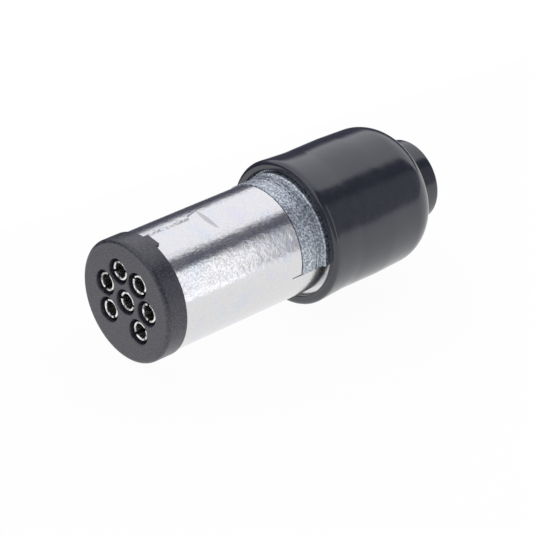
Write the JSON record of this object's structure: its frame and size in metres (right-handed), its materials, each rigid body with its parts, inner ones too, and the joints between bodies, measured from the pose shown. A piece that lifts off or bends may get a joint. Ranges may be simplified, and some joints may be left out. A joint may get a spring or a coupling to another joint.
{
  "type": "trailer wiring connector",
  "caption": "Small round 7-way trailer plug: plated metal barrel with keyway, black contact face with socket contacts, cast rear cover, cable clamp and sliding rubber boot.",
  "frame": {"origin": "centre of the contact face, on the plug's axis", "axes": "+Y along the plug's axis from the contact face towards the cable, +Z through the keyway, +X to the right when the cable points away"},
  "size_m": [0.0274, 0.069, 0.0274],
  "materials": {
    "plated_zinc": "bright zinc plating, slightly grainy",
    "cast_zinc": "matte as-cast",
    "carrier_plastic": "matte moulded",
    "boot_rubber": "semi-gloss moulded rubber",
    "contact_brass": "tin-plated brass",
    "clamp_steel": "zinc-plated strap",
    "screw_steel": "zinc-plated"
  },
  "bodies": {
    "plug": {"barrel": "plated_zinc", "cable_saddle": "plated_zinc", "contact_carrier": "carrier_plastic", "rear_cover": "cast_zinc", "cover_screw_left": "screw_steel", "cover_screw_right": "screw_steel", "carrier_screw": "screw_steel", "contact_1": "contact_brass", "contact_2": "contact_brass", "contact_3": "contact_brass", "contact_4": "contact_brass", "contact_5": "contact_brass", "contact_6": "contact_brass", "contact_7": "contact_brass"},
    "boot": {"boot": "boot_rubber"},
    "clamp": {"cable_clamp": "clamp_steel"},
    "clamp_screw_left": {"clamp_screw_left": "screw_steel"},
    "clamp_screw_right": {"clamp_screw_right": "screw_steel"},
    "terminal_screw_1": {"terminal_screw_1": "screw_steel"},
    "terminal_screw_2": {"terminal_screw_2": "screw_steel"},
    "terminal_screw_3": {"terminal_screw_3": "screw_steel"},
    "terminal_screw_4": {"terminal_screw_4": "screw_steel"},
    "terminal_screw_5": {"terminal_screw_5": "screw_steel"},
    "terminal_screw_6": {"terminal_screw_6": "screw_steel"},
    "terminal_screw_7": {"terminal_screw_7": "screw_steel"}
  },
  "joints": [
    {"name": "boot_slide", "type": "slide", "parent": "plug", "child": "boot", "axis": [0, 1, 0], "range_m": [0, 0.024]},
    {"name": "clamp_lift", "type": "slide", "parent": "plug", "child": "clamp", "axis": [0, 0, 1], "range_m": [0, 0.0015]},
    {"name": "clamp_screw_left_lift", "type": "slide", "parent": "plug", "child": "clamp_screw_left", "axis": [0, 0, 1], "range_m": [0, 0.0015]},
    {"name": "clamp_screw_right_lift", "type": "slide", "parent": "plug", "child": "clamp_screw_right", "axis": [0, 0, 1], "range_m": [0, 0.0015]},
    {"name": "terminal_screw_1_drive", "type": "slide", "parent": "plug", "child": "terminal_screw_1", "axis": [0.7071, 0, 0.7071], "range_m": [0, 0.0016]},
    {"name": "terminal_screw_2_drive", "type": "slide", "parent": "plug", "child": "terminal_screw_2", "axis": [0.9877, 0, -0.1564], "range_m": [0, 0.0016]},
    {"name": "terminal_screw_3_drive", "type": "slide", "parent": "plug", "child": "terminal_screw_3", "axis": [0.454, 0, -0.891], "range_m": [0, 0.0016]},
    {"name": "terminal_screw_4_drive", "type": "slide", "parent": "plug", "child": "terminal_screw_4", "axis": [-0.454, 0, -0.891], "range_m": [0, 0.0016]},
    {"name": "terminal_screw_5_drive", "type": "slide", "parent": "plug", "child": "terminal_screw_5", "axis": [-0.9877, 0, -0.1564], "range_m": [0, 0.0016]},
    {"name": "terminal_screw_6_drive", "type": "slide", "parent": "plug", "child": "terminal_screw_6", "axis": [-0.7071, 0, 0.7071], "range_m": [0, 0.0016]},
    {"name": "terminal_screw_7_drive", "type": "slide", "parent": "plug", "child": "terminal_screw_7", "axis": [0, 0, 1], "range_m": [0, 0.0016]}
  ],
  "couplings": [
    {"joint": "clamp_screw_left_lift", "follows": "clamp_lift", "ratio": 1},
    {"joint": "clamp_screw_right_lift", "follows": "clamp_lift", "ratio": 1}
  ]
}
